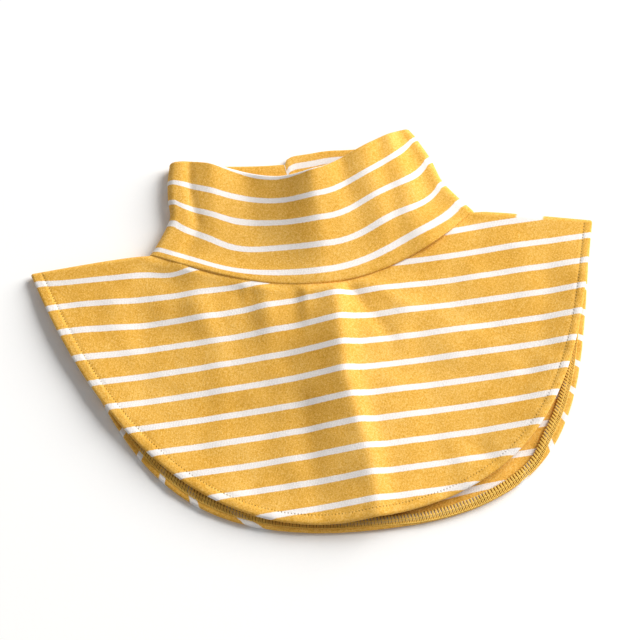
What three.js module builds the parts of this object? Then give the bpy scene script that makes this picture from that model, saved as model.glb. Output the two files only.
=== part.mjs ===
// A turtleneck dickey lying flat on its back: a folded, double-layer collar tube seamed to a
// front panel and a back panel, with the hems turned to the inside. Millimetres, +Z up,
// +X towards the wearer's left shoulder as it lies, +Y from the bib towards the collar.
import * as THREE from "three";

// Overall sizes
const SPAN = 340; // between the two wing tips, where the shoulder seams end
const BIB_LENGTH = 184; // from the neckline's ends down to the front hem
const NECK_WIDTH = 190; // the neckline between its two creases, laid flat
const NECK_DROP = 35; // dip of the front neckline below its ends
const COLLAR_WIDTH = 139; // the collar's top fold between its two creases, laid flat
const COLLAR_HEIGHT = 72; // the collar's band, from the neck seam to the top fold
const COLLAR_PUFF = 15; // rise of the collar's front above its side creases
const FRONT_FOLD = 7; // height of the front panel's main fold

// Cloth
const CLOTH = 1.3; // one layer of brushed knit
const COLLAR_WALL = 2.8; // the collar's two layers, pressed together
const CREASE_INSIDE = 2.4; // inside radius of the flattened collar's side creases
const HEM = 7; // width of the turned hem
const SEAM_GAP = 0.3; // space left between neighbouring pieces of cloth

// Sizes that follow from those
const CREASE = CREASE_INSIDE + COLLAR_WALL;
const HEM_STACK = 4 * CLOTH + 3 * SEAM_GAP; // both panels with both turned hems between them
const HALF_SPAN = SPAN / 2;
const NECK_INSET = (COLLAR_WALL - CLOTH) / 2; // a panel meets the middle of the collar's wall
const HEM_END = 0.012; // the hems stop this share of the edge short of a wing tip
const NECK_FADE = 0.12; // share of a panel over which it leaves the collar's wall
const FOLD_FADE = 0.25; // share of the front panel over which its folds grow from the seam
const SIDE_FADE = 0.12; // share of the width over which they die out at the shoulder seams
const CREASE_LOOK = 0.02; // share of a ply over which its direction at a crease is taken
const PUFF_POWER = 2; // above 1 gathers the collar's rise round its peak

// The collar's rings, from the neck seam (up 0) to the top fold (up 1).
// narrow: how far the width has gone from the neckline's to the top fold's.
// left, right: the creases across, in shares of half that width. leftRise, rightRise: the
// creases along the tube, in shares of COLLAR_HEIGHT. frontDip, backDip: how far the plies sag
// between the creases, in shares of NECK_DROP. low: where across they sag most. pinch: above 1
// the front sags less near the creases. lift: the front's rise, in shares of COLLAR_PUFF.
// peak: where across it is highest.
const COLLAR_RINGS = [
  { up: 0.0, narrow: 0.0, left: -0.99, right: 1.01, leftRise: -0.05, rightRise: -0.08,
    frontDip: 0.93, backDip: 0.66, low: 0.53, pinch: 0.9, lift: 0.15, peak: 0.52 },
  { up: 0.11, narrow: 0.22, left: -1.01, right: 0.99, leftRise: 0.01, rightRise: 0.06,
    frontDip: 0.9, backDip: 0.54, low: 0.54, pinch: 0.9, lift: 0.25, peak: 0.54 },
  { up: 0.33, narrow: 0.6, left: -0.99, right: 1.01, leftRise: 0.25, rightRise: 0.24,
    frontDip: 0.9, backDip: 0.51, low: 0.54, pinch: 0.8, lift: 0.45, peak: 0.58 },
  { up: 0.55, narrow: 0.7, left: -1.01, right: 0.99, leftRise: 0.43, rightRise: 0.45,
    frontDip: 0.86, backDip: 0.51, low: 0.55, pinch: 0.8, lift: 0.65, peak: 0.62 },
  { up: 0.78, narrow: 0.84, left: -1.04, right: 0.95, leftRise: 0.6, rightRise: 0.66,
    frontDip: 0.83, backDip: 0.46, low: 0.55, pinch: 0.95, lift: 0.85, peak: 0.66 },
  { up: 1.0, narrow: 1.0, left: -1.06, right: 0.95, leftRise: 0.77, rightRise: 0.765,
    frontDip: 0.7, backDip: 0.26, low: 0.54, pinch: 1.5, lift: 1.0, peak: 0.68 },
];

// The collar front's soft folds, each running from the neck seam to the top fold. across:
// its place between the creases at the seam and at the top. width: its half width, in shares
// of the ring's. seamHeight, topHeight: in shares of COLLAR_PUFF.
const COLLAR_FOLDS = [
  { seamAcross: 0.6, topAcross: 0.68, width: 0.07, seamHeight: 0.12, topHeight: 0.2 },
  { seamAcross: 0.2, topAcross: 0.24, width: 0.08, seamHeight: 0.1, topHeight: 0.08 },
];

// The panels' outer edges, as Bezier control points: x in shares of half the span, y in shares
// of BIB_LENGTH. Each edge runs from the left wing tip round the hem to the right wing tip.
const FRONT_EDGE = {
  leftTip: [-1.0, -0.02],
  leftSide: [-0.86, -0.52],
  leftRound: [-0.56, -1.0],
  bottom: [0.0, -1.0],
  rightRound: [0.72, -1.0],
  rightSide: [0.85, -0.57],
  rightTip: [1.0, -0.12],
};
const BACK_EDGE = {
  leftTip: [-1.0, -0.02],
  leftSide: [-0.74, -0.54],
  leftRound: [-0.8, -1.028],
  bottom: [0.16, -1.028],
  rightRound: [0.83, -1.028],
  rightSide: [0.835, -0.62],
  rightTip: [1.0, -0.12],
};

// The front panel's soft folds, each along a line from its neck end to its hem end: x and y in
// shares of half the span and of BIB_LENGTH, width in shares of half the span, height in shares
// of FRONT_FOLD at the line's two ends.
const FRONT_FOLDS = [
  { neckX: 0.03, neckY: -0.2, hemX: 0.08, hemY: -1.0, width: 0.17, neckHeight: 0.9, hemHeight: 0.45 },
  { neckX: -0.16, neckY: -0.2, hemX: -0.1, hemY: -0.6, width: 0.05, neckHeight: 0.22, hemHeight: 0.05 },
  { neckX: 0.24, neckY: -0.18, hemX: 0.5, hemY: -0.5, width: 0.06, neckHeight: 0.2, hemHeight: 0.05 },
  { neckX: -0.8, neckY: -0.05, hemX: -0.72, hemY: -0.4, width: 0.12, neckHeight: 0.3, hemHeight: 0.1 },
];

// Facets
const ROLL_STEPS = 4;
const FRONT_STEPS = 40;
const BACK_STEPS = 32;
const COLLAR_ROWS = 10;
const FOLD_OVER_STEPS = 3;
const FRONT_ROWS = 20;
const BACK_ROWS = 10;
const HEM_STEPS = 40;

const mix = THREE.MathUtils.lerp;
const ease = THREE.MathUtils.smoothstep;

// A table's column at any share, through its rows by a smooth cubic. Past the first and the
// last row it goes straight on.
function column(rows, name, at) {
  const slope = (i, k) => (rows[k][name] - rows[i][name]) / (rows[k].up - rows[i].up);
  const last = rows.length - 1;
  if (at <= 0) return rows[0][name] + slope(0, 1) * at;
  if (at >= 1) return rows[last][name] + slope(last - 1, last) * (at - 1);
  let i = 0;
  while (rows[i + 1].up < at) i += 1;
  const step = rows[i + 1].up - rows[i].up;
  const s = (at - rows[i].up) / step;
  const startSlope = i === 0 ? slope(0, 1) : slope(i - 1, i + 1);
  const endSlope = i + 1 === last ? slope(last - 1, last) : slope(i, i + 2);
  const start = rows[i][name] * (1 + 2 * s) * (1 - s) ** 2 + startSlope * step * s * (1 - s) ** 2;
  const end = rows[i + 1][name] * s * s * (3 - 2 * s) - endSlope * step * s * s * (1 - s);
  return start + end;
}

// A bump over a share from 0 to 1: nothing at the ends, 1 at the peak, narrower with power
function bump(share, peak, power) {
  const skew = Math.log(0.5) / Math.log(peak);
  return Math.max(0, Math.sin(Math.PI * share ** skew)) ** power;
}

// A ply in plan from the left crease to the right one, sagging towards the bib
function plyLine(left, right, dip, low, pinch) {
  return (across) => {
    const place = left.clone().lerp(right, across);
    place.y -= dip * bump(across, low, pinch);
    return place;
  };
}

// The collar's ring at a share of its height
function collarRing(up) {
  const at = (name) => column(COLLAR_RINGS, name, up);
  const half = mix(NECK_WIDTH, COLLAR_WIDTH, at("narrow")) / 2;
  const left = new THREE.Vector2(at("left") * half, at("leftRise") * COLLAR_HEIGHT);
  const right = new THREE.Vector2(at("right") * half, at("rightRise") * COLLAR_HEIGHT);
  const folds = (across) =>
    COLLAR_FOLDS.reduce((height, fold) => {
      const away = (across - mix(fold.seamAcross, fold.topAcross, up)) / fold.width;
      return height + mix(fold.seamHeight, fold.topHeight, up) * Math.exp(-away * away);
    }, 0);
  return {
    front: plyLine(left, right, at("frontDip") * NECK_DROP, at("low"), at("pinch")),
    back: plyLine(left, right, at("backDip") * NECK_DROP, at("low"), 1),
    rise: (across) => COLLAR_PUFF * (at("lift") * bump(across, at("peak"), PUFF_POWER) + folds(across)),
  };
}

// A panel's outer edge from its table of control points
function panelEdge(edge) {
  const point = ([x, y]) => new THREE.Vector2(x * HALF_SPAN, y * BIB_LENGTH);
  const path = new THREE.CurvePath();
  path.add(
    new THREE.CubicBezierCurve(
      point(edge.leftTip),
      point(edge.leftSide),
      point(edge.leftRound),
      point(edge.bottom),
    ),
  );
  path.add(
    new THREE.CubicBezierCurve(
      point(edge.bottom),
      point(edge.rightRound),
      point(edge.rightSide),
      point(edge.rightTip),
    ),
  );
  return path;
}

// The outward direction in plan at a ply pair's end: the mean of the two plies' own
function outward(front, back, end) {
  const near = end === "left" ? 0 : 1;
  const inside = Math.abs(near - CREASE_LOOK);
  const way = (line) => line(near).clone().sub(line(inside)).normalize();
  return way(front).add(way(back)).normalize();
}

// The front panel's folds at a place in plan
function foldHeight(x, y) {
  const place = new THREE.Vector2(x / HALF_SPAN, y / BIB_LENGTH);
  let height = 0;
  for (const fold of FRONT_FOLDS) {
    const start = new THREE.Vector2(fold.neckX, fold.neckY);
    const line = new THREE.Vector2(fold.hemX, fold.hemY).sub(start);
    const offset = place.clone().sub(start);
    const along = THREE.MathUtils.clamp(offset.dot(line) / line.lengthSq(), 0, 1);
    const away = offset.addScaledVector(line, -along).length() / fold.width;
    height += FRONT_FOLD * mix(fold.neckHeight, fold.hemHeight, along) * Math.exp(-away * away);
  }
  return height;
}

const seamRing = collarRing(-SEAM_GAP / COLLAR_HEIGHT);
const frontEdge = panelEdge(FRONT_EDGE);
const backEdge = panelEdge(BACK_EDGE);

// Places in plan on the panels: across from the left shoulder seam to the right one, down from
// the neckline to the hem
const frontPlan = (across, down) =>
  seamRing.front(across).lerp(frontEdge.getPoint(across), down);
const backPlan = (across, down) =>
  seamRing.back(across).lerp(backEdge.getPoint(across), down);

// The shoulder seams' outer roll radius, and how far a panel lies inside the collar's surface
const shoulderRoll = (down) => mix(CREASE, HEM_STACK / 2, down);
const neckInset = (down) => NECK_INSET * (1 - ease(down, 0, NECK_FADE));

// Height of the front panel's outer face
function frontTop(across, down) {
  const place = frontPlan(across, down);
  const lift = seamRing.rise(across) * (1 - down) ** 2;
  const fade = ease(down, 0, FOLD_FADE) * ease(Math.min(across, 1 - across), 0, SIDE_FADE);
  const folds = foldHeight(place.x, place.y) * fade;
  return 2 * shoulderRoll(down) - neckInset(down) + lift + folds;
}

// A crease's quarter roll: points from angle to angle round its centre, in the plane of way
function roll(centre, way, radius, height, from, to) {
  const points = [];
  for (let i = 0; i <= ROLL_STEPS; i += 1) {
    const angle = mix(from, to, i / ROLL_STEPS);
    const reach = radius * Math.cos(angle);
    points.push(
      new THREE.Vector3(
        centre.x + way.x * reach,
        centre.y + way.y * reach,
        height + radius * Math.sin(angle),
      ),
    );
  }
  return points;
}

// The collar's closed section at a share of its height, moved into the wall by inset
function collarSection(up, inset) {
  const { front, back, rise } = collarRing(up);
  const radius = CREASE - inset;
  const quarter = Math.PI / 2;
  const leftWay = outward(front, back, "left");
  const rightWay = outward(front, back, "right");
  const points = [];
  for (let i = 1; i < FRONT_STEPS; i += 1) {
    const across = i / FRONT_STEPS;
    const place = front(across);
    points.push(new THREE.Vector3(place.x, place.y, CREASE + radius + rise(across)));
  }
  points.push(...roll(front(1), rightWay, radius, CREASE, quarter, 0));
  points.push(...roll(front(1), rightWay, radius, CREASE, 0, -quarter).slice(1));
  for (let i = 1; i < BACK_STEPS; i += 1) {
    const place = back(1 - i / BACK_STEPS);
    points.push(new THREE.Vector3(place.x, place.y, inset));
  }
  points.push(...roll(front(0), leftWay, radius, CREASE, -quarter, 0));
  points.push(...roll(front(0), leftWay, radius, CREASE, 0, quarter).slice(1));
  return points;
}

// A panel's open section at a share down from the neckline, moved into the cloth by inset
function panelSection(side, down, inset) {
  const isFront = side === "front";
  const plan = isFront ? frontPlan : backPlan;
  const steps = isFront ? FRONT_STEPS : BACK_STEPS;
  const height = shoulderRoll(down);
  const radius = height - neckInset(down) - inset;
  const front = (across) => frontPlan(across, down);
  const back = (across) => backPlan(across, down);
  const half = SEAM_GAP / 2 / radius; // angle of half the gap along the shoulder seam
  const top = isFront ? Math.PI / 2 : -Math.PI / 2;
  const rim = isFront ? half : -half;
  const points = roll(front(0), outward(front, back, "left"), radius, height, rim, top);
  for (let i = 1; i < steps; i += 1) {
    const across = i / steps;
    const place = plan(across, down);
    const z = isFront ? frontTop(across, down) - inset : neckInset(down) + inset;
    points.push(new THREE.Vector3(place.x, place.y, z));
  }
  points.push(...roll(front(1), outward(front, back, "right"), radius, height, top, rim));
  return points;
}

// A turned hem: a band of cloth that follows a panel's inner face along its outer edge
function hemSection(side, across) {
  const isFront = side === "front";
  const plan = isFront ? frontPlan : backPlan;
  const length = plan(across, 0).distanceTo(plan(across, 1));
  const rows = [];
  for (const down of [1 - HEM / length, 1 - SEAM_GAP / length]) {
    const place = plan(across, down);
    const top = isFront ? frontTop(across, down) - CLOTH - SEAM_GAP : 2 * CLOTH + SEAM_GAP;
    rows.push({ place, top, bottom: top - CLOTH });
  }
  return rows;
}

// A closed body between an outer and an inner grid of points. A ringed grid closes on itself.
function shell(outer, inner, ringed) {
  const rows = outer.length;
  const columns = outer[0].length;
  const positions = [...outer, ...inner].flat().flatMap((point) => point.toArray());
  const faces = [];
  const at = (layer, row, place) => (layer * rows + row) * columns + (place % columns);
  const quad = (a, b, c, d) => faces.push(a, b, c, a, c, d);
  const spans = ringed ? columns : columns - 1;
  for (let place = 0; place < spans; place += 1) {
    const next = place + 1;
    for (let row = 0; row < rows - 1; row += 1) {
      quad(at(0, row, place), at(0, row, next), at(0, row + 1, next), at(0, row + 1, place));
      quad(at(1, row, place), at(1, row + 1, place), at(1, row + 1, next), at(1, row, next));
    }
    const last = rows - 1;
    quad(at(0, 0, place), at(1, 0, place), at(1, 0, next), at(0, 0, next));
    quad(at(0, last, place), at(0, last, next), at(1, last, next), at(1, last, place));
  }
  if (!ringed) {
    const end = columns - 1;
    for (let row = 0; row < rows - 1; row += 1) {
      quad(at(0, row, 0), at(0, row + 1, 0), at(1, row + 1, 0), at(1, row, 0));
      quad(at(0, row, end), at(1, row, end), at(1, row + 1, end), at(0, row + 1, end));
    }
  }
  const geometry = new THREE.BufferGeometry();
  geometry.setAttribute("position", new THREE.Float32BufferAttribute(positions, 3));
  geometry.setIndex(signedVolume(positions, faces) < 0 ? faces.reverse() : faces);
  geometry.computeVertexNormals();
  return geometry;
}

function signedVolume(positions, faces) {
  const corner = (index) => new THREE.Vector3().fromArray(positions, 3 * index);
  let volume = 0;
  for (let i = 0; i < faces.length; i += 3) {
    volume += corner(faces[i]).dot(corner(faces[i + 1]).cross(corner(faces[i + 2])));
  }
  return volume;
}

// The collar: two layers of cloth, folded over at the top and pressed into one wall
function collar() {
  const outer = [];
  const inner = [];
  for (let row = 0; row <= COLLAR_ROWS; row += 1) {
    outer.push(collarSection(row / COLLAR_ROWS, 0));
    inner.push(collarSection(row / COLLAR_ROWS, COLLAR_WALL));
  }
  const half = COLLAR_WALL / 2;
  for (let i = 1; i <= FOLD_OVER_STEPS; i += 1) {
    const angle = (i / (FOLD_OVER_STEPS + 1)) * (Math.PI / 2);
    const up = 1 + (half * Math.sin(angle)) / COLLAR_HEIGHT;
    const inset = half * (1 - Math.cos(angle));
    outer.push(collarSection(up, inset));
    inner.push(collarSection(up, COLLAR_WALL - inset));
  }
  return shell(outer, inner, true);
}

function panel(side, rows) {
  const outer = [];
  const inner = [];
  for (let row = 0; row <= rows; row += 1) {
    outer.push(panelSection(side, row / rows, 0));
    inner.push(panelSection(side, row / rows, CLOTH));
  }
  return shell(outer, inner, false);
}

function turnedHem(side) {
  const outer = [[], []];
  const inner = [[], []];
  for (let i = 0; i <= HEM_STEPS; i += 1) {
    const across = mix(HEM_END, 1 - HEM_END, i / HEM_STEPS);
    hemSection(side, across).forEach(({ place, top, bottom }, row) => {
      outer[row].push(new THREE.Vector3(place.x, place.y, top));
      inner[row].push(new THREE.Vector3(place.x, place.y, bottom));
    });
  }
  return shell(outer, inner, false);
}

const knit = new THREE.MeshStandardMaterial({ color: 0xe1a53c, roughness: 0.9, metalness: 0 });
const knitInside = new THREE.MeshStandardMaterial({ color: 0xd69a35, roughness: 0.95, metalness: 0 });

function piece(name, geometry, material) {
  const mesh = new THREE.Mesh(geometry, material.clone());
  mesh.name = name;
  return mesh;
}

const dickey = new THREE.Group();
dickey.add(
  piece("collar", collar(), knit),
  piece("front_panel", panel("front", FRONT_ROWS), knit),
  piece("back_panel", panel("back", BACK_ROWS), knit),
  piece("front_hem", turnedHem("front"), knitInside),
  piece("back_hem", turnedHem("back"), knitInside),
);

// The origin is the middle of the whole dickey's footprint, on the table
const extent = new THREE.Box3().setFromObject(dickey);
const middle = extent.getCenter(new THREE.Vector3());
dickey.position.set(-middle.x, -middle.y, -extent.min.z);

export default dickey;
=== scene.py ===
# The looks of a turtleneck dickey in striped brushed knit, lying flat on a pale floor
import bisect
import math
from functools import lru_cache
import bmesh
import bpy
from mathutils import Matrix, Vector, noise
from mathutils.geometry import interpolate_bezier


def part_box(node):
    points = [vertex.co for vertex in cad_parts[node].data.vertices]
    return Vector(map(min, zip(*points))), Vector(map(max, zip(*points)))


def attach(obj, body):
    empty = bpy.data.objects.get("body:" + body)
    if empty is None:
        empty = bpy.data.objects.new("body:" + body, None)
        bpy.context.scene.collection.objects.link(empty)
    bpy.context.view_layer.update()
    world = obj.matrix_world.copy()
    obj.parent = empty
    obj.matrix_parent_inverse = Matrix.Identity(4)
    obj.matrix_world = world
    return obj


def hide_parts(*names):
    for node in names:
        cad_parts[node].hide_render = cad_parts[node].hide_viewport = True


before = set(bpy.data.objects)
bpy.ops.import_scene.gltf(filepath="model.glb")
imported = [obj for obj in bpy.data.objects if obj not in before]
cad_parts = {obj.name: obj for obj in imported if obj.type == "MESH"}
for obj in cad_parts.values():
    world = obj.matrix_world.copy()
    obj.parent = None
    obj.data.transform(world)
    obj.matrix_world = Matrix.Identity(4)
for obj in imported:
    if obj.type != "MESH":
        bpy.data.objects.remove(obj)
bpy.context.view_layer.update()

# Lengths are in millimetres up to the finished point, which is in metres
MM = 0.001

# Sizes of the dickey
SPAN = 340.0  # between the two wing tips
HALF_SPAN = SPAN / 2
BIB_LENGTH = 184.0  # from the neckline's ends down to the front hem
NECK_WIDTH = 190.0  # the neckline between its two creases, laid flat
NECK_DROP = 35.0  # dip of the front neckline below its ends
COLLAR_WIDTH = 139.0  # the top fold between its two creases, laid flat
COLLAR_HEIGHT = 72.0  # the collar's band, from the neck seam to the top fold
COLLAR_PUFF = 15.0  # rise of the collar's front above its side creases
FRONT_FOLD = 7.0  # height of the front bib's main fold
CLOTH = 1.3  # one layer of knit
COLLAR_WALL = 2.8  # the collar's two layers
CREASE = 5.2  # outer radius of the flattened collar's side creases
HEM_STACK = 6.1  # both bibs with both turned hems between them
SEAM_GAP = 0.3
NECK_INSET = (COLLAR_WALL - CLOTH) / 2  # the bib's cloth is in the middle of the collar's wall
NECK_FADE = 0.12  # the inset ends at this share of the way to the hem
FOLD_FADE = 0.25  # the broad folds have their height from this share of the way
SIDE_FADE = 0.12  # and from this share of the way in from the shoulders
CREASE_LOOK = 0.02  # a crease's direction is taken this share across from it
PUFF_POWER = 2  # how sharply the collar's front rises to its peak
FOLD_LEAN = Vector((0.05, 0.34))  # how far the collar's fine folds lean back, for 1 of height

# Cloth details
TURN = 0.8  # radius of the middle of the cloth round a turned hem
TOP_TURN = 0.75  # and round the collar's top fold
HALF_CLOTH = CLOTH / 2
HEM_UNDER = HALF_CLOTH + 2 * TURN  # depth of a turned hem's middle below the outer face
SEAM_ROLL = 0.75  # the cloth rolls in over this distance from a sewn seam
SEAM_DEPTH = 0.6  # how far it rolls in
SEAM_LIFT = 2.5  # the front's neck seam stands this much higher than the cloth on its sides
SEAM_LIFT_WIDTH = 8.0
SOFT_SIDES = 0.08  # fine folds fade out over this share of the width at the creases
CREST_ROUND = 0.15  # how round the crest of a steep fold is
SEAM_OPEN = 0.05  # left between the rolled edges of two sewn pieces
FRONT_HEM = 7.5  # width of the front bib's turned hem
STITCH_PITCH = 2.0
HEM_RISE = 0.4  # the front's two layers stand this much higher outside its stitch line
EDGE_RISE_LEFT = 1.8  # the front's edge stands this much higher than the cloth inside it
EDGE_RISE_RIGHT = 2.8
EDGE_RISE_WIDTH = 26.0
STITCH_SINK_FRONT = 0.06  # how deep the rows of stitches lie in the cloth
STITCH_SINK_BACK = 0.04
THREAD_RADIUS = 0.29  # of the overlock thread
STITCH_DENT = 0.38  # how deep a stitch line pulls the cloth in
STITCH_DENT_WIDTH = 0.8
STITCH_IN_LEFT = 6.5  # the hem's stitch line, from the edge
STITCH_IN_RIGHT = 5.0
OVERLOCK_WIDTH = 5.8
OVERLOCKED = 1000.0  # marks the turned hem's places in the hem map
FIRST_STITCH = 0.012  # of the edge's length
SEWN_SHARE = 1 - 2 * FIRST_STITCH
BACK_SEAM = 0.47  # where across the back ply the collar's band is joined
BACK_STEP = 5.0  # just right of that join the band reaches this much further
BACK_RIM = 0.6  # and stands this much higher

# Stripes
STRIPE_WHITE = 3.6
BIB_PITCH = 15.9
BIB_STRIPE = -45.5  # the middle of one of the bibs' white stripes, above the neckline's ends
COLLAR_PITCH = 16.2  # the collar is stretched a little
COLLAR_STRIPE = 8.0  # up the band, the middle of the first white stripe
FOLD_PULL = 0.08  # share of the broad folds' height by which they pull the stripes down

# The place of the neckline's ends above the middle of the footprint
NECKLINE_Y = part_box("front_panel")[0].y / MM + BIB_LENGTH

# The collar's rings, from the neck seam (up 0) to the top fold (up 1).
# narrow: how far the width has gone from the neckline's to the top fold's.
# left, right: the creases across, in shares of half that width. left_rise, right_rise: the
# creases along the tube, in shares of COLLAR_HEIGHT. front_dip, back_dip: how far the plies sag
# between the creases, in shares of NECK_DROP. low: where across they sag most. pinch: above 1
# the front sags less near the creases. lift: the front's rise, in shares of COLLAR_PUFF.
# peak: where across it is highest.
COLLAR_RINGS = [
    dict(up=0.0, narrow=0.0, left=-0.99, right=1.01, left_rise=-0.05, right_rise=-0.08,
         front_dip=0.93, back_dip=0.66, low=0.53, pinch=0.9, lift=0.15, peak=0.52),
    dict(up=0.11, narrow=0.22, left=-1.01, right=0.99, left_rise=0.01, right_rise=0.06,
         front_dip=0.9, back_dip=0.54, low=0.54, pinch=0.9, lift=0.25, peak=0.54),
    dict(up=0.33, narrow=0.6, left=-0.99, right=1.01, left_rise=0.25, right_rise=0.24,
         front_dip=0.9, back_dip=0.51, low=0.54, pinch=0.8, lift=0.45, peak=0.58),
    dict(up=0.55, narrow=0.7, left=-1.01, right=0.99, left_rise=0.43, right_rise=0.45,
         front_dip=0.86, back_dip=0.51, low=0.55, pinch=0.8, lift=0.65, peak=0.62),
    dict(up=0.78, narrow=0.84, left=-1.04, right=0.95, left_rise=0.6, right_rise=0.66,
         front_dip=0.83, back_dip=0.46, low=0.55, pinch=0.95, lift=0.85, peak=0.66),
    dict(up=1.0, narrow=1.0, left=-1.06, right=0.95, left_rise=0.77, right_rise=0.765,
         front_dip=0.7, back_dip=0.26, low=0.54, pinch=1.5, lift=1.0, peak=0.68),
]

# The collar front's soft folds, from the neck seam to the top fold. across: place between the
# creases at the seam and at the top. width: half width, in shares of the ring's. heights: in
# millimetres at the seam and at the top. right: half width of the right side, if different.
# power: how late the height goes from the seam's to the top's, if not evenly.
COLLAR_FOLDS = [
    dict(seam_across=0.5, top_across=0.556, width=0.1, right=0.055, seam_height=1.0, top_height=3.8),
    dict(seam_across=0.13, top_across=0.145, width=0.045, seam_height=0.1, top_height=1.8),
]
COLLAR_FINE_FOLDS = [
    dict(seam_across=0.28, top_across=0.28, width=0.06, seam_height=0, top_height=-1.6),
    dict(seam_across=0.66, top_across=0.7, width=0.055, seam_height=0, top_height=-4.0, power=1.5),
    dict(seam_across=0.75, top_across=0.83, width=0.05, seam_height=0.6, top_height=2.6),
    dict(seam_across=0.86, top_across=0.94, width=0.068, seam_height=3.4, top_height=6.2),
    dict(seam_across=0.08, top_across=0.042, width=0.026, seam_height=-0.4, top_height=-2.0),
    dict(seam_across=0.02, top_across=-0.01, width=0.03, seam_height=0.6, top_height=1.4),
]

# Where the collar's stripes are pulled down from their even place by its folds: the middle of
# the pull across the front and up the band, how wide and tall it is, and by how much, in mm
STRIPE_PULLS = [
    dict(across=0.21, up=0.3, wide=0.13, tall=0.26, down=5.2),
    dict(across=0.03, up=0.42, wide=0.07, tall=0.25, down=2.6),
    dict(across=0.8, up=0.5, wide=0.13, tall=0.3, down=-4.4),
    dict(across=0.97, up=0.25, wide=0.09, tall=0.3, down=3.2),
]
TOP_EDGE_DRIFT = -2.6  # the white stripe at the top fold is over the edge here
TOP_MIDDLE_DRIFT = -0.1  # and on the front here
BACK_DRIFTS = (6.0, -7.0)  # inside the back, left and right of its seam

# Where each bib's stripes are pulled up (or down, below 0) from their even lines: the middle
# of the pull from the neckline's middle, how wide it is, and by how much, in mm
FRONT_PULLS = [
    dict(middle=(-150, -30), wide=30, by=3.6),
    dict(middle=(-170, -4), wide=15, by=3.5),
    dict(middle=(-64, -42), wide=30, by=-1.2),
    dict(middle=(-87, -12), wide=11, by=-3.0),
    dict(middle=(78, -22), wide=28, by=-1.4),
]
BACK_PULLS = [
    dict(middle=(-45, -176), wide=50, by=-3.6),
    dict(middle=(25, -190), wide=40, by=-4.2),
]

# The bibs' outer edges, as Bezier control points: x in shares of half the span, y in shares of
# BIB_LENGTH. Each edge runs from the left wing tip round the hem to the right wing tip.
FRONT_EDGE = [
    (-1.0, -0.02), (-0.86, -0.52), (-0.56, -1.0), (0.0, -1.0),
    (0.72, -1.0), (0.85, -0.57), (1.0, -0.12),
]
BACK_EDGE = [
    (-1.0, -0.02), (-0.74, -0.54), (-0.8, -1.028), (0.16, -1.028),
    (0.83, -1.028), (0.835, -0.62), (1.0, -0.12),
]

# The back bib's turned hem: its width at the left wing tip, then stretches of the edge's length
# over which the width changes, and the width after each
BACK_HEM_LEFT = 9.0
BACK_HEM_STEPS = [(0.3, 0.5, 8.0), (0.5, 0.58, 6.2), (0.7, 0.745, 9.6)]

# The cloth's gentle unevenness: its height and the size of its waves, in mm, its seed, and its
# middle above the cloth, in shares of the height
WAVES = {
    "front": (1.3, 34, 3.1, 0),
    "back": (0.5, 28, 8.3, 0.7),
    "small": (0.5, 13, 5.7, 0.6),
    "collar front": (0.8, 26, 1.7, 0),
    "collar back": (0.25, 20, 6.1, 0.5),
}
WAVES_ACROSS = 150.0  # the collar's width, as its waves take it

# The front bib's broad folds, each along a line: x in shares of half the span, y in shares of
# BIB_LENGTH, width in shares of half the span, heights in shares of FRONT_FOLD at its two ends
FRONT_FOLDS = [
    dict(start=(0.03, -0.2), end=(0.08, -1.0), width=0.17, heights=(0.9, 0.45)),
    dict(start=(-0.16, -0.2), end=(-0.1, -0.6), width=0.05, heights=(0.22, 0.05)),
    dict(start=(0.24, -0.18), end=(0.5, -0.5), width=0.06, heights=(0.2, 0.05)),
    dict(start=(-0.8, -0.05), end=(-0.72, -0.4), width=0.12, heights=(0.3, 0.1)),
]

# Its fine folds and gathers, along paths: millimetres right of and above the neckline's middle,
# and the height there. width: half width. steep: the left side falls off straight from the crest.
FINE_FOLDS = [
    dict(path=[(8, -35, 4.2), (7, -62, 4.9), (4.6, -95, 5.0), (7, -117, 5.0), (11, -150, 4.6),
               (11, -180, 3)], width=8, steep=17),
    dict(path=[(29, -85, 0.6), (33, -115, 1.1), (40, -175, 0.5)], width=14),
    dict(path=[(48, -60, 1.2), (46, -70, 1.1), (43, -88, 0.3)], width=8),
    dict(path=[(-20, -64, -1.6), (-23, -95, -0.9), (-20, -165, -0.9)], width=9),
    dict(path=[(17, -44, -1.6), (34, -74, -0.8)], width=5),
    dict(path=[(26, -38, 1.3), (35, -46, 1.3), (50, -62, 0.5)], width=6),
    dict(path=[(-73, -18, 1.0), (-73, -37, 2.2), (-69, -60, 1.6), (-64, -84, 0.3)], width=9),
    dict(path=[(-100, -20, -0.8), (-109, -43, -1.5), (-108, -62, -0.6)], width=16),
    dict(path=[(-33, -30, 1.7), (-33.5, -41, 1.8), (-36, -66, 1.4), (-36, -85, 0.2)], width=7),
    dict(path=[(-44, -28, 0.5), (-45, -42, 0.2)], width=2.6),
    dict(path=[(-9, -38, 0.9), (-11.5, -60, 0.2)], width=3.5),
    dict(path=[(-15, -38, -1.0), (-18, -60, 0)], width=4.5),
    dict(path=[(76, -152, -0.9), (88, -166, -0.5)], width=7),
    dict(path=[(60, -150, 0.9), (70, -170, 0.5)], width=9),
]


def mix(start, end, share):
    return start + (end - start) * share


def ease(value, low, high):
    share = min(1.0, max(0.0, (value - low) / (high - low)))
    return share * share * (3 - 2 * share)


def bump(share, peak, power):
    """A bump over a share from 0 to 1: nothing at the ends, 1 at the peak"""
    skew = math.log(0.5) / math.log(peak)
    return max(0.0, math.sin(math.pi * share**skew)) ** power


def bell(away):
    return math.exp(-away * away)


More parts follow.
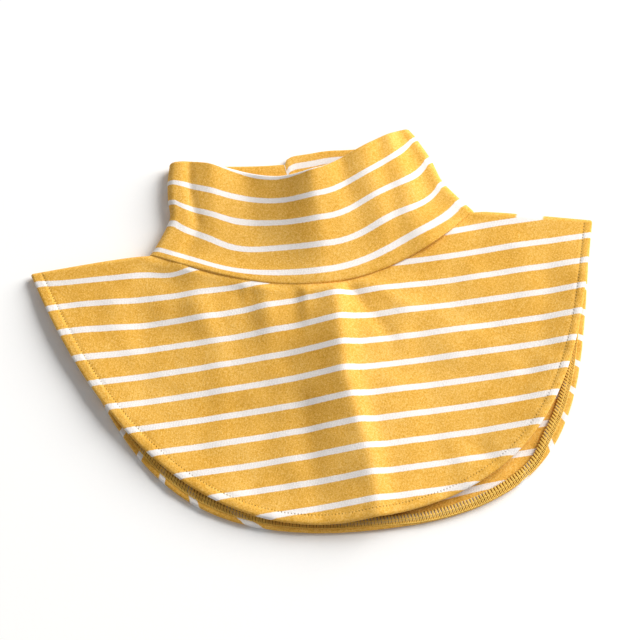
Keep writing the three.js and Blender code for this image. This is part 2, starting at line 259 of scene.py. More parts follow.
def column(rows, name, at):
    """A table's column at any share, through its rows by a smooth cubic, straight past its ends"""
    def slope(i, k):
        return (rows[k][name] - rows[i][name]) / (rows[k]["up"] - rows[i]["up"])

    last = len(rows) - 1
    if at <= 0:
        return rows[0][name] + slope(0, 1) * at
    if at >= 1:
        return rows[last][name] + slope(last - 1, last) * (at - 1)
    i = 0
    while rows[i + 1]["up"] < at:
        i += 1
    step = rows[i + 1]["up"] - rows[i]["up"]
    s = (at - rows[i]["up"]) / step
    start_slope = slope(0, 1) if i == 0 else slope(i - 1, i + 1)
    end_slope = slope(last - 1, last) if i + 1 == last else slope(i, i + 2)
    start = rows[i][name] * (1 + 2 * s) * (1 - s) ** 2 + start_slope * step * s * (1 - s) ** 2
    end = rows[i + 1][name] * s * s * (3 - 2 * s) - end_slope * step * s * s * (1 - s)
    return start + end


class Ring:
    """The flattened collar's ring at a share of its height"""

    def __init__(self, up):
        self.up = up
        names = [name for name in COLLAR_RINGS[0] if name != "up"]
        self.at = {name: column(COLLAR_RINGS, name, up) for name in names}
        half = mix(NECK_WIDTH, COLLAR_WIDTH, self.at["narrow"]) / 2
        self.left = Vector((self.at["left"] * half, self.at["left_rise"] * COLLAR_HEIGHT))
        self.right = Vector((self.at["right"] * half, self.at["right_rise"] * COLLAR_HEIGHT))
        self.ways = {end: self.outward(end) for end in ("left", "right")}

    def ply(self, across, dip, pinch):
        place = self.left.lerp(self.right, across)
        place.y -= dip * NECK_DROP * bump(across, self.at["low"], pinch)
        return place

    def front(self, across):
        return self.ply(across, self.at["front_dip"], self.at["pinch"])

    def back(self, across):
        return self.ply(across, self.at["back_dip"], 1)

    def folds(self, folds, across):
        height = 0.0
        for fold in folds:
            middle = mix(fold["seam_across"], fold["top_across"], self.up)
            wide = fold.get("right", fold["width"]) if across > middle else fold["width"]
            away = (across - middle) / wide
            late = max(0.0, self.up) ** fold.get("power", 1)
            height += mix(fold["seam_height"], fold["top_height"], late) * bell(away)
        return height

    def rise(self, across):
        puff = COLLAR_PUFF * self.at["lift"] * bump(across, self.at["peak"], PUFF_POWER)
        return puff + self.folds(COLLAR_FOLDS, across)

    def outward(self, end):
        """The direction out of a crease in plan: the mean of the two plies' own"""
        near = 0.0 if end == "left" else 1.0
        inside = abs(near - CREASE_LOOK)
        ways = [(ply(near) - ply(inside)).normalized() for ply in (self.front, self.back)]
        return (ways[0] + ways[1]).normalized()


ring = lru_cache(maxsize=None)(Ring)
SEAM_RING = ring(-SEAM_GAP / COLLAR_HEIGHT)


class Edge:
    """A bib's outer edge, found by the share of its length from the left wing tip"""

    def __init__(self, shares):
        knots = [Vector((x * HALF_SPAN, y * BIB_LENGTH)) for x, y in shares]
        steps = 300
        self.points = interpolate_bezier(*knots[:4], steps)[:-1]
        self.points += interpolate_bezier(*knots[3:], steps)
        self.reach = [0.0]
        for start, end in zip(self.points, self.points[1:]):
            self.reach.append(self.reach[-1] + (end - start).length)
        self.length = self.reach[-1]

    def at(self, share):
        along = min(max(share, 0.0), 1.0) * self.length
        i = min(max(bisect.bisect_left(self.reach, along), 1), len(self.points) - 1)
        step = self.reach[i] - self.reach[i - 1]
        return self.points[i - 1].lerp(self.points[i], (along - self.reach[i - 1]) / step)


def line_folds(folds, place, half, length, unit):
    """The height of a table of folds at a place in plan"""
    spot = Vector((place.x / half, place.y / length))
    height = 0.0
    for fold in folds:
        start = Vector(fold["start"])
        line = Vector(fold["end"]) - start
        offset = spot - start
        along = min(1.0, max(0.0, offset.dot(line) / line.length_squared))
        away = (offset - line * along).length / fold["width"]
        height += unit * mix(*fold["heights"], along) * bell(away)
    return height


def path_folds(folds, place):
    """The height of a table of folds along paths at a place in plan"""
    height = 0.0
    for fold in folds:
        nearest = None
        for first, second in zip(fold["path"], fold["path"][1:]):
            line = Vector(second[:2]) - Vector(first[:2])
            offset = place - Vector(first[:2])
            along = min(1.0, max(0.0, offset.dot(line) / line.length_squared))
            away = offset - line * along
            if nearest is None or away.length < nearest[0]:
                on_left = line.x * away.y < line.y * away.x
                nearest = (away.length, mix(first[2], second[2], along), on_left)
        away, crest, on_left = nearest
        if on_left and "steep" in fold:
            height += crest * math.exp(CREST_ROUND - math.hypot(away / fold["steep"], CREST_ROUND))
        else:
            height += crest * bell(away / fold["width"])
    return height


def ripple(place, waves):
    """Height of the gentle unevenness of limp cloth"""
    height, size, seed, middle = WAVES[waves]
    return height * (noise.noise(Vector((place.x / size, place.y / size, seed))) + middle)


class Bib:
    """A front or back bib: places across it from the left shoulder seam to the right one, and
    at a distance in from its hemmed edge"""

    def __init__(self, side, shares, pulls, hem_width, stitch_in):
        self.side = side
        self.edge = Edge(shares)
        self.pulls = pulls
        self.hem_width = hem_width
        self.stitch_in = stitch_in
        self.ply = SEAM_RING.front if side == "front" else SEAM_RING.back
        self.lines = {}

    def line(self, across):
        """The line that fans out from the neck seam to the edge, and its length"""
        if across not in self.lines:
            start, end = self.ply(across), self.edge.at(across)
            self.lines[across] = (start, end, (end - start).length)
        return self.lines[across]

    def plan(self, across, down):
        start, end, _ = self.line(across)
        return start.lerp(end, down)

    def stripe_pull(self, place):
        ways = [(place - Vector(pull["middle"])).length / pull["wide"] for pull in self.pulls]
        return sum(pull["by"] * bell(away) for pull, away in zip(self.pulls, ways))

    def flat_place(self, across, flat):
        """A place in the flat cloth. Past the edge it is turned over about the edge's line."""
        length = self.line(across)[2]
        if flat <= length:
            return self.plan(across, flat / length)
        end = self.edge.at(across)
        place = self.plan(across, 2 - flat / length)
        way = (self.edge.at(across + 0.002) - self.edge.at(across - 0.002)).normalized()
        out = Vector((way.y, -way.x))
        return place + out * (2 * (end - place).dot(out))

    def seam_lift(self, across, down):
        """How far the cloth stands up beside the neck seam"""
        if self.side == "back":
            return 0.0
        soft = ease(min(across, 1 - across), 0, SOFT_SIDES)
        return SEAM_LIFT * bell(down * self.line(across)[2] / SEAM_LIFT_WIDTH) * soft

    def broad(self, across, down):
        """Height of the broad forms over the flat bib"""
        if self.side == "back":
            return 0.0
        place = self.plan(across, min(down, 1.0))
        lift = SEAM_RING.rise(across) * (1 - min(down, 1.0)) ** 2 + self.seam_lift(across, down)
        fade = ease(down, 0, FOLD_FADE) * ease(min(across, 1 - across), 0, SIDE_FADE)
        return lift + line_folds(FRONT_FOLDS, place, HALF_SPAN, BIB_LENGTH, FRONT_FOLD) * fade

    def fine(self, across, down, arc, distance):
        """Height of the fine folds, the stitch line's dent and the cloth's unevenness"""
        place = self.plan(across, min(down, 1.0))
        inside = ease(down, 0, 0.04) * ease(min(across, 1 - across), 0, 0.06)
        if self.side == "front":
            height = path_folds(FINE_FOLDS, place) * inside
            rise = mix(EDGE_RISE_LEFT, EDGE_RISE_RIGHT, ease(across, 0.6, 0.75))
            rise *= ease(min(across, 1 - across), 0, SOFT_SIDES)
            height += rise * ease(distance, EDGE_RISE_WIDTH, 2)
            height += ripple(place, "front") * inside * ease(distance, 0, 40)
        else:
            height = ripple(place, "back") * inside
        height += ripple(place, "small") * inside
        ends = ease(min(across, 1 - across), 0, 0.02)
        pucker = 0.22 + 0.12 * math.sin(arc / 1.9) + 0.1 * math.sin(arc / 3.1 + 1)
        height += pucker * ease(distance, 12, 2) * ends
        from_line = distance - self.stitch_in(across)
        dent = STITCH_DENT * bell(from_line / STITCH_DENT_WIDTH)
        if self.side == "back":
            return height + dent
        return height - dent + HEM_RISE * ease(from_line, 0.5, -0.7) * ends

    def roll_radius(self, down):
        return mix(CREASE, HEM_STACK / 2, min(down, 1.0))

    def neck_inset(self, down):
        return NECK_INSET * (1 - ease(down, 0, NECK_FADE))


def back_hem(across):
    """Width of the back bib's turned hem: narrowest at the bottom's right"""
    width = BACK_HEM_LEFT
    for start, end, next_width in BACK_HEM_STEPS:
        width = mix(width, next_width, ease(across, start, end))
    return width


FRONT = Bib("front", FRONT_EDGE, FRONT_PULLS, lambda across: FRONT_HEM,
            lambda across: mix(STITCH_IN_LEFT, STITCH_IN_RIGHT, ease(across, 0.1, 0.6)))
BACK = Bib("back", BACK_EDGE, BACK_PULLS, back_hem, lambda across: back_hem(across) - 2.5)


def finished(place, height):
    """A point in plan and its height, in the dickey's own frame, in metres"""
    return Vector((place.x, place.y + NECKLINE_Y, height)) * MM


def seam_dive(distance):
    """How far the cloth has rolled in at a distance from its seam"""
    share = min(1.0, max(0.0, distance / SEAM_ROLL))
    return SEAM_DEPTH * (1 - math.sqrt(max(0.0, 1 - (1 - share) ** 2)))


def bib_columns(steps, roll_steps):
    """Columns across a bib: its left shoulder roll from the rim to the top, its face, its
    right roll back to the rim"""
    rolls = [i / roll_steps for i in range(roll_steps)]
    left = [("left", share) for share in rolls]
    face = [("face", i / steps) for i in range(steps + 1)]
    right = [("right", share) for share in reversed(rolls)]
    return left + face + right


def bib_rows(steps, seam_steps, turn_steps, hem_steps):
    """Rows down a bib: the seam's roll, the face, the turn at the edge and the hem under it"""
    seam = [("seam", i / seam_steps) for i in range(seam_steps)]
    face = [("face", i / steps) for i in range(steps)]
    turn = [("turn", i / turn_steps) for i in range(turn_steps)]
    hem = [("hem", i / hem_steps) for i in range(hem_steps + 1)]
    return seam + face + turn + hem


def bib_spot(bib, across, row, end=None, roll=1.0):
    """One point of the cloth's middle, its place in the flat cloth, and its place along the hem:
    past the first stitch, and in from the stitch line (on the turned hem, out from its raw edge,
    plus OVERLOCKED). On a shoulder roll, roll goes from the rim to the top."""
    kind, share = row
    length = bib.line(across)[2]
    turn_at = TURN + HALF_CLOTH
    seam_reach = 2 * SEAM_ROLL
    start = SEAM_OPEN - SEAM_GAP
    if kind == "seam":
        along = mix(start, seam_reach, share)
        inset, flat = HALF_CLOTH, along
    elif kind == "face":
        along = mix(seam_reach, length - turn_at, share)
        inset, flat = HALF_CLOTH, along
    elif kind == "turn":
        angle = math.pi * share
        along = length - turn_at + TURN * math.sin(angle)
        inset = HALF_CLOTH + TURN * (1 - math.cos(angle))
        flat = length - turn_at + TURN * angle
    else:
        under = share * (bib.hem_width(across) - turn_at)
        along = length - turn_at - under
        inset = HEM_UNDER
        flat = length - turn_at + TURN * math.pi + under
    down = along / length
    distance = length - along
    radius = bib.roll_radius(down)
    neck = bib.neck_inset(down) + seam_dive(along - start)
    place = bib.plan(across, down)
    arc = across * bib.edge.length
    hem_place = (arc - FIRST_STITCH * bib.edge.length, distance - bib.stitch_in(across))
    if kind == "hem":
        hem_place = (hem_place[0], OVERLOCKED + bib.hem_width(across) - distance)
    if end is None:
        lift = bib.broad(across, down)
        fine = bib.fine(across, down, arc, distance)
        if bib.side == "front":
            height = 2 * radius - neck - inset + lift + fine
        else:
            height = neck + inset + fine
        cloth = bib.flat_place(across, flat)
        pull = FOLD_PULL * (lift + (2 * radius - HEM_STACK)) - bib.stripe_pull(place)
        place -= FOLD_LEAN * bib.seam_lift(across, down)
        return finished(place, height), (cloth.x, cloth.y + pull), hem_place
    quarter = math.pi / 2
    reach = (radius - neck - inset) - seam_dive(roll * quarter * radius) * 0.8
    rim = SEAM_OPEN / 2 / radius
    angle = mix(rim, quarter, roll) * (1 if bib.side == "front" else -1)
    way = shoulder_way(end, down)
    point = place + way * (reach * math.cos(angle))
    height = radius + reach * math.sin(angle)
    sideways = (1 - roll) * quarter * radius * (-1 if end == "left" else 1)
    cloth = bib.flat_place(across, flat)
    pull = FOLD_PULL * (2 * radius - HEM_STACK) - bib.stripe_pull(place) * roll
    return (
        finished(point, height),
        (cloth.x + sideways, cloth.y + pull),
        hem_place,
    )


@lru_cache(maxsize=None)
def shoulder_way(end, down):
    """The direction out of the shoulder roll: the mean of the two bibs' own"""
    near = 0.0 if end == "left" else 1.0
    inside = abs(near - CREASE_LOOK)
    ways = [(bib.plan(near, down) - bib.plan(inside, down)).normalized() for bib in (FRONT, BACK)]
    return (ways[0] + ways[1]).normalized()


def cloth_grid(name, columns, rows, spot, closed=False):
    """A grid of cloth whose points, flat places and hem places come from spot(column, row)"""
    bm = bmesh.new()
    bmesh.ops.create_grid(bm, x_segments=len(columns) - 1, y_segments=len(rows) - 1, size=0.5)
    maps = [bm.loops.layers.uv.new(key) for key in ("cloth", "hem")]
    spots = {}
    for vert in bm.verts:
        across = round((vert.co.x + 0.5) * (len(columns) - 1))
        down = round((vert.co.y + 0.5) * (len(rows) - 1))
        spots[vert] = spot(columns[across], rows[down])
    for vert, found in spots.items():
        vert.co = found[0]
    for face in bm.faces:
        face.smooth = True
        for loop in face.loops:
            for layer, flat in zip(maps, spots[loop.vert][1:]):
                loop[layer].uv = Vector(flat) * MM
    if closed:
        bmesh.ops.remove_doubles(bm, verts=bm.verts, dist=0.01 * MM)
    return make_piece(name, bm)


def make_piece(name, bm):
    mesh = bpy.data.meshes.new(name)
    bm.to_mesh(mesh)
    bm.free()
    piece = bpy.data.objects.new(name, mesh)
    bpy.context.scene.collection.objects.link(piece)
    return piece


def give_thickness(piece, thickness):
    """Two faces of cloth, half the thickness to each side of its middle"""
    wall = piece.modifiers.new("cloth thickness", "SOLIDIFY")
    wall.thickness = thickness * MM
    wall.offset = 0
    wall.use_rim = True
    return piece


def make_bib(name, bib, steps, rows):
    def spot(place, row):
        kind, share = place
        if kind == "face":
            return bib_spot(bib, share, row)
        return bib_spot(bib, 0.0 if kind == "left" else 1.0, row, kind, share)

    piece = cloth_grid(name, bib_columns(steps, 8), rows, spot)
    return give_thickness(piece, CLOTH)


def collar_columns(front_steps, back_steps, roll_steps):
    """Columns round the collar, from the centre-back seam over the right crease, the front and
    the left crease back to the seam"""
    half = back_steps // 2
    columns = [("back", mix(BACK_SEAM, 1, i / half)) for i in range(half)]
    columns += [("right", i / roll_steps) for i in range(roll_steps)]
    columns += [("front", 1 - i / front_steps) for i in range(front_steps)]
    columns += [("left", i / roll_steps) for i in range(roll_steps)]
    columns += [("back", mix(0, BACK_SEAM, i / half)) for i in range(half + 1)]
    return columns


def collar_rows(outer_steps, seam_steps, turn_steps, inner_steps):
    """Rows of the collar's band: up the outside, over the top fold, down the inside. Each has
    its share of the height, its depth in the wall, its place in the flat band, and how far it
    is from the neck seam."""
    seam_share = 2 * SEAM_ROLL / COLLAR_HEIGHT
    outer = [seam_share * i / seam_steps for i in range(seam_steps)]
    outer += [mix(seam_share, 1, i / outer_steps) for i in range(outer_steps)]
    rows = [(up, HALF_CLOTH, up * COLLAR_HEIGHT) for up in outer]
    for i in range(turn_steps):
        angle = math.pi * i / turn_steps
        up = 1 + TOP_TURN * math.sin(angle) / COLLAR_HEIGHT
        depth = COLLAR_WALL / 2 - TOP_TURN * math.cos(angle)
        rows.append((up, depth, COLLAR_HEIGHT + TOP_TURN * angle))
    under = COLLAR_HEIGHT + TOP_TURN * math.pi
    for i in range(inner_steps + 1):
        up = 1 - i / inner_steps
        rows.append((up, COLLAR_WALL / 2 + TOP_TURN, under + (1 - up) * COLLAR_HEIGHT))
    return rows


def collar_spot(place, row):
    """One point of the collar's cloth and its place in the flat band"""
    kind, share = place
    up, depth, band = row
    loop = ring(round(up, 6))
    seam = seam_dive(up * COLLAR_HEIGHT)
    if depth < COLLAR_WALL / 2:
        depth += seam
    else:
        depth -= seam
    radius = CREASE - depth
    quarter = math.pi / 2
    if kind == "front":
        point = loop.front(share)
        soft = ease(min(share, 1 - share), 0, SOFT_SIDES)
        fine = loop.folds(COLLAR_FINE_FOLDS, share) * soft
        fine += ripple(Vector((share * WAVES_ACROSS, band)), "collar front") * soft
        fine += SEAM_LIFT * bell(up * COLLAR_HEIGHT / SEAM_LIFT_WIDTH) * soft
        point -= FOLD_LEAN * fine
        height = CREASE + radius + loop.rise(share) + fine
        flat = NECK_WIDTH * (1 - share)
    elif kind == "back":
        point = loop.back(share)
        step = ease(share, BACK_SEAM, BACK_SEAM + 0.01)
        rim = step * bell((share - BACK_SEAM) / 0.025)
        point.y += BACK_STEP * step * ease(share, 0.85, 0.62) * (1 - rim / 2) * ease(up, 0.55, 1.0)
        waves = ripple(Vector((share * WAVES_ACROSS, band)), "collar back")
        height = depth + BACK_RIM * rim + waves
        flat = -NECK_WIDTH * (1 - share)
    else:
        turned = mix(-quarter, quarter, share) if kind == "right" else mix(quarter, -quarter, share)
        centre = loop.front(1.0 if kind == "right" else 0.0)
        point = centre + loop.ways[kind] * (radius * math.cos(turned))
        height = CREASE + radius * math.sin(turned)
        flat = 0.0 if kind == "right" else NECK_WIDTH
    return finished(point, height), (flat, band + stripe_drift(kind, share, up)), (flat, band)


def stripe_drift(kind, share, up):
    """How far the cloth's stripes have been pulled down from their even place in the band"""
    top = ease(up, 0.85, 1.0)
    if kind in ("left", "right"):
        across = 0.0 if kind == "left" else 1.0
        return front_drift(across, up) + TOP_EDGE_DRIFT * top
    if kind == "front":
        visible = bell((share - 0.36) / 0.17)
        return front_drift(share, up) + mix(TOP_EDGE_DRIFT, TOP_MIDDLE_DRIFT, visible) * top
    side, inner = (0.0, BACK_DRIFTS[0]) if share < BACK_SEAM else (1.0, BACK_DRIFTS[1])
    drift = front_drift(side, up) * (1 - ease(abs(share - side), 0, 0.25))
    inside = ease(abs(share - side), 0.02, 0.15)
    return drift + mix(TOP_EDGE_DRIFT * top, inner * ease(up, 0.7, 0.93), inside)


def front_drift(across, up):
    drift = 0.9
    for pull in STRIPE_PULLS:
        away = math.hypot((across - pull["across"]) / pull["wide"], (up - pull["up"]) / pull["tall"])
        drift += pull["down"] * bell(away)
    return drift


# Materials


class Wire:
    """One value in a material's nodes. Arithmetic on it adds Math nodes."""

    def __init__(self, shop, socket):
        self.shop = shop
        self.socket = socket

    def __add__(self, other):
        return self.shop.math("ADD", self, other)

    def __radd__(self, other):
        return self.shop.math("ADD", other, self)

    def __sub__(self, other):
        return self.shop.math("SUBTRACT", self, other)

    def __rsub__(self, other):
        return self.shop.math("SUBTRACT", other, self)

    def __mul__(self, other):
        return self.shop.math("MULTIPLY", self, other)

    def __rmul__(self, other):
        return self.shop.math("MULTIPLY", other, self)

    def __truediv__(self, other):
        return self.shop.math("DIVIDE", self, other)


class Finish:
    """A material and its nodes"""

    def __init__(self, name):
        self.material = bpy.data.materials.new(name)
        self.material.use_nodes = True
        self.tree = self.material.node_tree
        self.tree.nodes.clear()

    def node(self, kind, settings=None, sockets=None, output=0):
        """A node with its settings, then the values or links of its sockets"""
        made = self.tree.nodes.new("ShaderNode" + kind)
        for name, value in (settings or {}).items():
            setattr(made, name, value)
        for key, value in (sockets or {}).items():
            if isinstance(value, Wire):
                self.tree.links.new(value.socket, made.inputs[key])
            else:
                made.inputs[key].default_value = value
        return Wire(self, made.outputs[output])

    def math(self, operation, *values):
        return self.node("Math", {"operation": operation}, dict(enumerate(values)))

    def smooth(self, value, low, high):
        """0 where value is low, 1 where it is high, soft between"""
        sockets = {"Value": value, "From Min": low, "From Max": high}
        return self.node("MapRange", {"interpolation_type": "SMOOTHSTEP"}, sockets)

    def grain(self, size, detail=2.0, rough=0.55):
        """Noise in the piece's own space with marks of this size in millimetres, about 0 to 1"""
        where = self.node("TexCoord", output="Object")
        settings = {"noise_dimensions": "3D"}
        sockets = {"Vector": where, "Scale": 1 / (size * MM), "Detail": detail, "Roughness": rough}
        return self.node("TexNoise", settings, sockets)

    def blend(self, factor, first, second):
        sockets = {"Factor": factor, 6: first, 7: second}
        return self.node("Mix", {"data_type": "RGBA"}, sockets, output=2)

    def place(self, uv_map):
        """The two millimetre values of a piece's own map"""
        found = self.node("UVMap", {"uv_map": uv_map})
        across = self.node("SeparateXYZ", None, {0: found}, output="X")
        along = self.node("SeparateXYZ", None, {0: found}, output="Y")
        return across / MM, along / MM

    def surface(self, colour, roughness, bump, depth, constants):
        """The finished surface: bump is a height from 0 to 1, depth its size in millimetres"""
        sockets = {"Height": bump, "Strength": 1.0, "Distance": depth * MM}
        normal = self.node("Bump", None, sockets)
        sockets = {"Base Color": colour, "Roughness": roughness, "Normal": normal, **constants}
        shader = self.node("BsdfPrincipled", None, sockets)
        self.node_output(shader)
        return self.material

    def node_output(self, shader):
        out = self.tree.nodes.new("ShaderNodeOutputMaterial")
        self.tree.links.new(shader.socket, out.inputs["Surface"])


YELLOW_DEEP = (0.70, 0.34, 0.028, 1)
YELLOW = (0.84, 0.455, 0.07, 1)
YELLOW_LIGHT = (0.95, 0.58, 0.15, 1)
WHITE = (0.96, 0.91, 0.87, 1)
WHITE_SHADE = (0.88, 0.83, 0.79, 1)
THREAD_YELLOW = (0.92, 0.56, 0.11, 1)
# painted shade: the dark colour painted into the needle's holes
PAINTED_HOLE_SHADE = (0.20, 0.085, 0.008, 1)
# painted shade: the dark colour painted under and between the overlock's threads
PAINTED_THREAD_SHADE = (0.33, 0.165, 0.02, 1)
BRUSHED = {
    "Sheen Weight": 0.22,
    "Sheen Roughness": 0.35,
    "Sheen Tint": (1.0, 0.88, 0.62, 1),
    "Specular IOR Level": 0.25,
}


def striped_knit(name, first_stripe, pitch, hemmed):
    """Brushed jersey in yellow with thin white stripes. With hemmed, painted shade darkens the
    needle's holes along the hem line and the cloth under and between the threads at the raw edge."""
    knit = Finish(name)
    across, along = knit.place("cloth")
    nap = knit.grain(0.6, 3.0, 0.65)
    mottle = knit.grain(1.3, 2.0)
    cloud = knit.grain(24.0, 1.0)
    wander = (knit.grain(1.4) - 0.5) * 0.5
    from_stripe = knit.math("PINGPONG", along - first_stripe + wander, pitch / 2)
    stripe = 1 - knit.smooth(from_stripe, STRIPE_WHITE / 2 - 0.25, STRIPE_WHITE / 2 + 0.25)
    tone = knit.smooth(nap * 0.5 + mottle * 0.35 + cloud * 0.15, 0.34, 0.66)
    yellow = knit.blend(knit.smooth(tone, 0.0, 0.5), YELLOW_DEEP, YELLOW)
    yellow = knit.blend(knit.smooth(tone, 0.45, 1.0), yellow, YELLOW_LIGHT)
    white = knit.blend(tone, WHITE_SHADE, WHITE)
    colour = knit.blend(stripe, yellow, white)
    wale = knit.math("PINGPONG", across, 0.45) / 0.45
    course = knit.math("PINGPONG", along + wale * 0.35, 0.34) / 0.34
    height = nap * 0.55 + mottle * 0.25 + wale * 0.1 + course * 0.1
    if hemmed:
        arc, distance = knit.place("hem")
        aside = knit.math("ABSOLUTE", distance)
        step = knit.math("PINGPONG", arc, STITCH_PITCH / 2)
        # the needle's holes: dented by the bump, and darkened with painted shade
        hole_dent_and_shade = (1 - knit.smooth(aside, 0.2, 0.65)) * (1 - knit.smooth(step, 0.2, 0.5))
        plain = knit.smooth(knit.grain(7.0, 1.0), 0.35, 0.65)
        colour = knit.blend(hole_dent_and_shade * (0.75 - plain * 0.45), colour, PAINTED_HOLE_SHADE)
        height = height - hole_dent_and_shade * 0.5
        # painted shade under the overlock's band, darker in the gaps between its threads
        threaded = knit.math("ABSOLUTE", distance - OVERLOCKED - OVERLOCK_WIDTH / 2)
        shaded = 1 - knit.smooth(threaded, OVERLOCK_WIDTH / 2 - 0.4, OVERLOCK_WIDTH / 2)
        gap = knit.math("PINGPONG", arc - STITCH_PITCH * 0.36, STITCH_PITCH / 2)
        shaded = shaded * (knit.smooth(gap, 0.45, 0.85) * 0.45 + 0.2)
        colour = knit.blend(shaded, colour, PAINTED_THREAD_SHADE)
    roughness = 0.82 - tone * 0.1
    return knit.surface(colour, roughness, height, 0.45, BRUSHED)


def sewing_thread(name, colour):
    """Spun polyester thread, a little shinier than the cloth"""
    thread = Finish(name)
    fibre = thread.grain(0.35, 2.0)
    lighter = tuple(min(1.0, part * 1.25) for part in colour[:3]) + (1,)
    tint = thread.blend(fibre, colour, lighter)
    constants = {"Sheen Weight": 0.2, "Sheen Roughness": 0.3, "Specular IOR Level": 0.4}
    return thread.surface(tint, 0.55 + fibre * 0.15, fibre, 0.1, constants)


def floor_finish():
    """A matt, nearly white table top"""
    paper = Finish("floor_matt_white")
    speck = paper.grain(3.0, 2.0)
    colour = paper.blend(speck, (0.985, 0.985, 0.985, 1), (0.995, 0.995, 0.995, 1))
    return paper.surface(colour, 0.9 - speck * 0.02, speck, 0.02, {"Specular IOR Level": 0.0})


# Threads


def hem_point(bib, across, distance, above, under):
    """A point above the cloth near a hem: on the outer face, or on the turned allowance"""
    length = bib.line(across)[2]
    down = 1 - distance / length
    arc = across * bib.edge.length
    lift = bib.broad(across, down) + bib.fine(across, down, arc, distance)
    depth = CLOTH + 2 * TURN if under else 0.0
    if bib.side == "front":
        face = 2 * bib.roll_radius(down) - bib.neck_inset(down) + lift - depth
        height = face - above if under else face + above
    else:
        face = bib.neck_inset(down) + lift + depth
        height = face + above if under else face - above
    return finished(bib.plan(across, down), height)


def hem_stitches(name, bib, sink):
    """A row of short straight stitches along the outer face of a hem, sunk this far into it"""
    bm = bmesh.new()
    count = int(bib.edge.length * SEWN_SHARE / STITCH_PITCH)
    for i in range(count):
        middle = FIRST_STITCH + (i + 0.5) * STITCH_PITCH / bib.edge.length
        step = 0.3 / bib.edge.length
        distance = bib.stitch_in(middle)
        ends = [hem_point(bib, middle + way * step, distance, -sink, False) for way in (-1, 1)]
        tangent = (ends[1] - ends[0]).normalized()
        turn = tangent.to_track_quat("X", "Z").to_matrix().to_4x4()
        turn.translation = (ends[0] + ends[1]) / 2
        made = bmesh.ops.create_uvsphere(bm, u_segments=8, v_segments=5, radius=MM)
        half_length = 0.4 * STITCH_PITCH
        bmesh.ops.scale(bm, vec=(half_length, 0.24, 0.2), verts=made["verts"])
        bmesh.ops.transform(bm, matrix=turn, verts=made["verts"])
    for face in bm.faces:
        face.smooth = True
    return make_piece(name, bm)


def overlock_path(bib, start, end):
    """One stitch of the overlock thread, from the needle line out over the raw edge and back.
    Each knot is its share of the stitch, its share of the width in from the raw edge, and its
    height above the cloth."""
    knots = [
        (0.1, 1.0, 0.05), (0.14, 0.7, 0.3), (0.2, 0.3, 0.32), (0.27, 0.0, 0.24),
        (0.32, -0.06, -0.5), (0.42, -0.06, -0.5), (0.46, 0.0, 0.24), (0.5, 0.3, 0.32),
        (0.56, 0.7, 0.3), (0.62, 1.0, 0.05),
    ]
    points = []
    for along, share, above in knots:
        across = mix(start, end, along)
        raw = bib.hem_width(across)
        distance = raw - share * OVERLOCK_WIDTH
        points.append(hem_point(bib, across, distance, above, True))
    return points


def overlock(name, bib):
    """Overlock thread along the raw edge of a turned hem, with its needle line"""
    curve = bpy.data.curves.new(name, "CURVE")
    curve.dimensions = "3D"
    curve.bevel_depth = THREAD_RADIUS * MM
    curve.bevel_resolution = 1
    curve.use_fill_caps = True
    count = int(bib.edge.length * SEWN_SHARE / STITCH_PITCH)
    for i in range(count):
        start = FIRST_STITCH + i * STITCH_PITCH / bib.edge.length
        end = start + STITCH_PITCH / bib.edge.length
        points = overlock_path(bib, start, end)
        spline = curve.splines.new("POLY")
        spline.points.add(len(points) - 1)
        for point, place in zip(spline.points, points):
            point.co = (*place, 1)
    for line_share in (0.98, 0.5):
        for i in range(count):
            start = FIRST_STITCH + (i + 0.12) * STITCH_PITCH / bib.edge.length
            end = start + 0.76 * STITCH_PITCH / bib.edge.length
            spline = curve.splines.new("POLY")
            spline.points.add(2)
            for point, share in zip(spline.points, (0, 0.5, 1)):
                across = mix(start, end, share)
                distance = bib.hem_width(across) - line_share * OVERLOCK_WIDTH
                above = 0.12 + 0.2 * math.sin(math.pi * share)
                point.co = (*hem_point(bib, across, distance, above, True), 1)
    holder = bpy.data.objects.new(name + "_line", curve)
    bpy.context.scene.collection.objects.link(holder)
    bpy.context.view_layer.update()
    seen = holder.evaluated_get(bpy.context.evaluated_depsgraph_get())
    mesh = bpy.data.meshes.new_from_object(seen)
    bpy.data.objects.remove(holder)
    bpy.data.curves.remove(curve)
    mesh.name = name
    mesh.polygons.foreach_set("use_smooth", [True] * len(mesh.polygons))
    piece = bpy.data.objects.new(name, mesh)
    bpy.context.scene.collection.objects.link(piece)
    return piece


# Stage, light and camera

FLOOR_DROP = 0.06  # the cloth's lowest loops reach a little below its resting plane
VIEW_CENTRE = Vector((-2.83, NECKLINE_Y - 55.7, 0))  # what the camera looks at
VIEW_DISTANCE = 1179.0
VIEW_ELEVATION = 70.0  # degrees above the table
VIEW_TURN = 8.984  # degrees that the dickey is turned in the picture
FOCAL_LENGTH = 1965 / 640  # in widths of the picture
SENSOR_WIDTH = 36.0


def make_floor():
    bm = bmesh.new()
    bmesh.ops.create_grid(bm, x_segments=2, y_segments=2, size=4.0)
    bmesh.ops.translate(bm, verts=bm.verts, vec=(0, 0, -FLOOR_DROP * MM))
    floor = make_piece("floor", bm)
    floor.data.materials.append(floor_finish())


def aim(thing, place, target):
    thing.location = place
    thing.rotation_euler = (target - place).to_track_quat("-Z", "Y").to_euler()


def make_lights():
    """A broad key from the upper right, and an even white surround"""
    world = bpy.data.worlds.new("white surround")
    world.use_nodes = True
    world.node_tree.nodes["Background"].inputs["Color"].default_value = (1, 1, 1, 1)
    world.node_tree.nodes["Background"].inputs["Strength"].default_value = 0.3
    bpy.context.scene.world = world
    key = bpy.data.lights.new("key", "AREA")
    key.shape = "SQUARE"
    key.size = 6.0
    key.energy = 1130
    key.color = (1.0, 0.985, 0.96)
    lamp = bpy.data.objects.new("key", key)
    bpy.context.scene.collection.objects.link(lamp)
    aim(lamp, Vector((6.3, 2.8, 4.1)), Vector((0, 0, 0)))


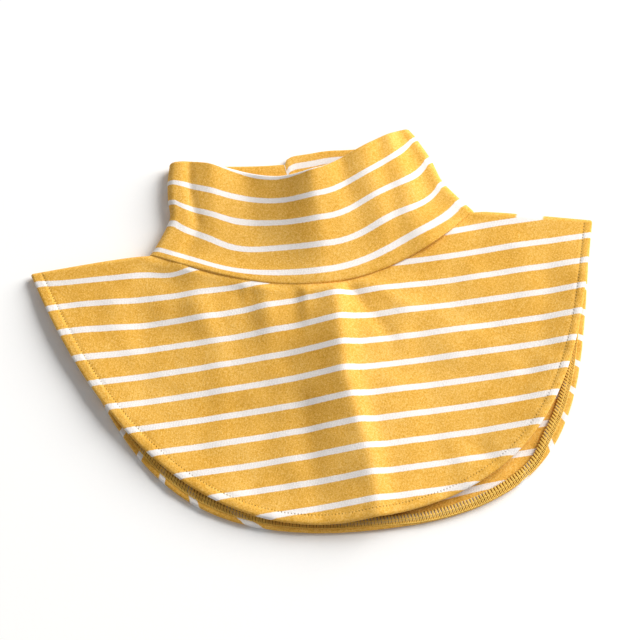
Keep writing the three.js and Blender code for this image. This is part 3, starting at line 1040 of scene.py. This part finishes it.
def make_camera():
    """The photograph's view: 70 degrees above the table, the dickey turned 9 degrees in it"""
    elevation = math.radians(VIEW_ELEVATION)
    turned = math.radians(VIEW_TURN)
    target = VIEW_CENTRE * MM
    away = Vector((
        -math.sin(turned) * math.cos(elevation),
        -math.cos(turned) * math.cos(elevation),
        math.sin(elevation),
    ))
    data = bpy.data.cameras.new("camera")
    data.sensor_width = SENSOR_WIDTH
    data.lens = FOCAL_LENGTH * SENSOR_WIDTH
    camera = bpy.data.objects.new("camera", data)
    bpy.context.scene.collection.objects.link(camera)
    aim(camera, target + away * (VIEW_DISTANCE * MM), target)
    bpy.context.scene.camera = camera
    bpy.context.scene.view_settings.view_transform = "Standard"


make_camera()
make_lights()
make_floor()

collar = cloth_grid(
    "collar_band", collar_columns(150, 100, 14), collar_rows(56, 6, 10, 34), collar_spot, closed=True
)
give_thickness(collar, CLOTH)
front_bib = make_bib("front_bib", FRONT, 260, bib_rows(90, 6, 8, 8))
back_bib = make_bib("back_bib", BACK, 220, bib_rows(56, 6, 8, 10))
front_stitches = hem_stitches("front_hem_stitches", FRONT, STITCH_SINK_FRONT)
back_stitches = hem_stitches("back_hem_stitches", BACK, STITCH_SINK_BACK)
back_overlock = overlock("back_overlock", BACK)

collar.data.materials.append(striped_knit("collar_knit", COLLAR_STRIPE, COLLAR_PITCH, False))
front_bib.data.materials.append(striped_knit("front_knit", BIB_STRIPE, BIB_PITCH, True))
back_bib.data.materials.append(striped_knit("back_knit", BIB_STRIPE, BIB_PITCH, True))
thread = sewing_thread("yellow_thread", THREAD_YELLOW)
for piece in (front_stitches, back_stitches, back_overlock):
    piece.data.materials.append(thread)

for piece, slot, nodes in (
    (collar, "striped_knit", ["collar"]),
    (front_bib, "striped_knit", ["front_panel", "front_hem"]),
    (back_bib, "striped_knit", ["back_panel", "back_hem"]),
    (front_stitches, "hem_overlock", []),
    (back_stitches, "hem_overlock", []),
    (back_overlock, "hem_overlock", []),
):
    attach(piece, "root")
    if nodes:
        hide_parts(*nodes)
